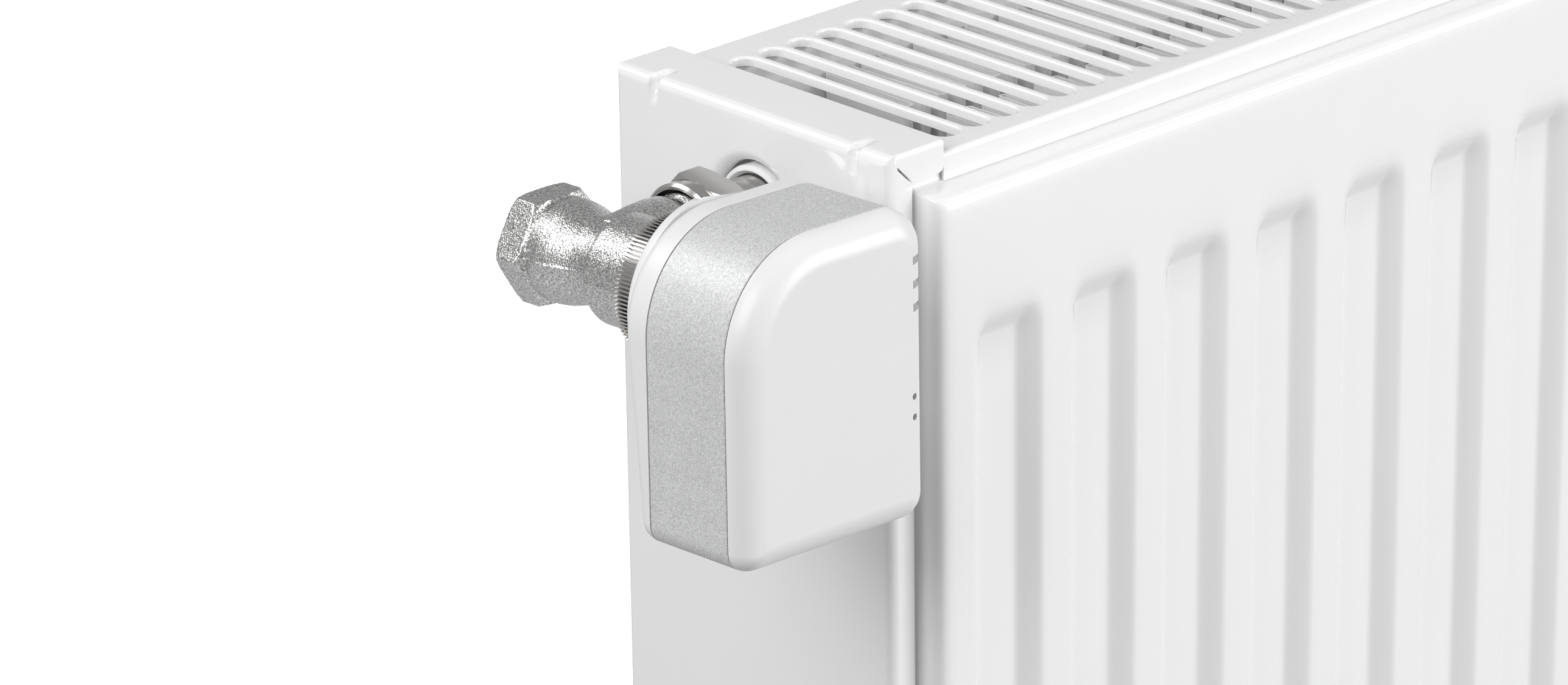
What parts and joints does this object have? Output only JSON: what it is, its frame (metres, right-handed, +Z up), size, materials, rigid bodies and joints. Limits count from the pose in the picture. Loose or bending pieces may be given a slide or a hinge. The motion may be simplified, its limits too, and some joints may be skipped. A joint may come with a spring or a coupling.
{
  "type": "radiator with valve",
  "caption": "Ribbed double-panel steel radiator with slotted top grille, side covers, a corner valve and a battery-driven head.",
  "frame": {"origin": "at mid-length, in the plane of the hanging lugs' wall-side edges, level with the closed ends of the upper lugs' notches, where the wall brackets carry the radiator", "axes": "+Z up, -Y out of the wall towards the room, +X along the radiator away from the valve"},
  "size_m": [0.6891, 0.1456, 0.6012],
  "materials": {
    "enamel": "white baked enamel, glossy",
    "cast_nickel": "nickel plate over a rough casting",
    "nickel": "satin nickel plate",
    "brass_metal": "turned brass",
    "steel": "turned steel",
    "white_plastic": "white, satin",
    "silver_plastic": "silver metallic flake lacquer",
    "rubber": "black, matt",
    "dark_plastic": "dark grey",
    "acetal": "natural acetal, satin",
    "board": "green circuit board",
    "cell_wrap": "plain dark sleeve"
  },
  "bodies": {
    "radiator": {"front_panel_outer_sheet": "enamel", "front_panel_inner_sheet": "enamel", "rear_panel_inner_sheet": "enamel", "rear_panel_outer_sheet": "enamel", "front_convector": "enamel", "rear_convector": "enamel", "top_grille": "enamel", "end_cover_valve_side": "enamel", "end_cover_far_side": "enamel", "port_tee_valve_top": "enamel", "port_tee_valve_bottom": "enamel", "port_tee_far_top": "enamel", "port_tee_far_bottom": "enamel", "upper_lug_valve_side": "enamel", "upper_lug_far_side": "enamel", "lower_lug_valve_side": "enamel", "lower_lug_far_side": "enamel", "air_vent_seal": "rubber", "blanking_plug_seal": "rubber", "air_vent_plug": "nickel", "blanking_plug": "nickel", "radiator_tailpiece": "nickel", "valve_body": "cast_nickel", "valve_bonnet": "brass_metal", "return_spring": "steel", "spindle_gland_ring": "rubber", "head_adapter": "steel", "rear_shell": "white_plastic", "silver_band": "silver_plastic", "chassis_plate": "dark_plastic", "idler_axle": "steel", "drive_motor": "steel", "circuit_board": "board", "battery_1": "cell_wrap", "battery_2": "cell_wrap", "upper_contact": "steel", "lower_contact": "steel"},
    "bleed_screw": {"bleed_screw": "brass_metal"},
    "union_nut": {"union_nut": "nickel"},
    "coupling_ring": {"coupling_ring": "nickel"},
    "drive_wheel": {"drive_wheel": "acetal"},
    "idler_gear": {"idler_gear": "acetal"},
    "motor_pinion": {"motor_pinion": "brass_metal"},
    "plunger": {"plunger": "brass_metal"},
    "spindle": {"valve_spindle": "steel", "seal_disc": "rubber"},
    "front_cover": {"front_cover": "white_plastic"}
  },
  "joints": [
    {"name": "bleed_screw_turn", "type": "hinge", "parent": "radiator", "child": "bleed_screw", "pos_m": [0.3, -0.0654, 0.0679], "axis": [1, 0, 0], "range_deg": [0, 360]},
    {"name": "union_nut_spin", "type": "hinge", "parent": "radiator", "child": "union_nut", "pos_m": [-0.3462, -0.0654, 0.0679], "axis": [1, 0, 0], "continuous": true},
    {"name": "coupling_ring_spin", "type": "hinge", "parent": "radiator", "child": "coupling_ring", "pos_m": [-0.3462, -0.0654, 0.0679], "axis": [0, 0.9993, -0.0384], "continuous": true},
    {"name": "drive_wheel_turn", "type": "hinge", "parent": "radiator", "child": "drive_wheel", "pos_m": [-0.3462, -0.0654, 0.0679], "axis": [0, 0.9993, -0.0384], "range_deg": [0, 360]},
    {"name": "idler_turn", "type": "hinge", "parent": "radiator", "child": "idler_gear", "pos_m": [-0.34675, -0.06607, 0.05057], "axis": [0, 0.9993, -0.0384], "range_deg": [-1170, 0]},
    {"name": "pinion_turn", "type": "hinge", "parent": "radiator", "child": "motor_pinion", "pos_m": [-0.3472, -0.06662, 0.03624], "axis": [0, 0.9993, -0.0384], "range_deg": [0, 2925]},
    {"name": "plunger_slide", "type": "slide", "parent": "radiator", "child": "plunger", "axis": [0, 0.9993, -0.0384], "range_m": [0, 0.003]},
    {"name": "spindle_slide", "type": "slide", "parent": "radiator", "child": "spindle", "axis": [0, 0.9993, -0.0384], "range_m": [0, 0.003], "deforming": ["return_spring"]},
    {"name": "front_cover_pull", "type": "slide", "parent": "radiator", "child": "front_cover", "axis": [0, -0.9993, 0.0384], "range_m": [0, 0.03]}
  ],
  "couplings": [
    {"joint": "drive_wheel_turn", "follows": "plunger_slide", "rad_per_m": 2094.4},
    {"joint": "idler_turn", "follows": "plunger_slide", "rad_per_m": -6806.8},
    {"joint": "pinion_turn", "follows": "plunger_slide", "rad_per_m": 17017},
    {"joint": "spindle_slide", "follows": "plunger_slide", "ratio": 1}
  ]
}
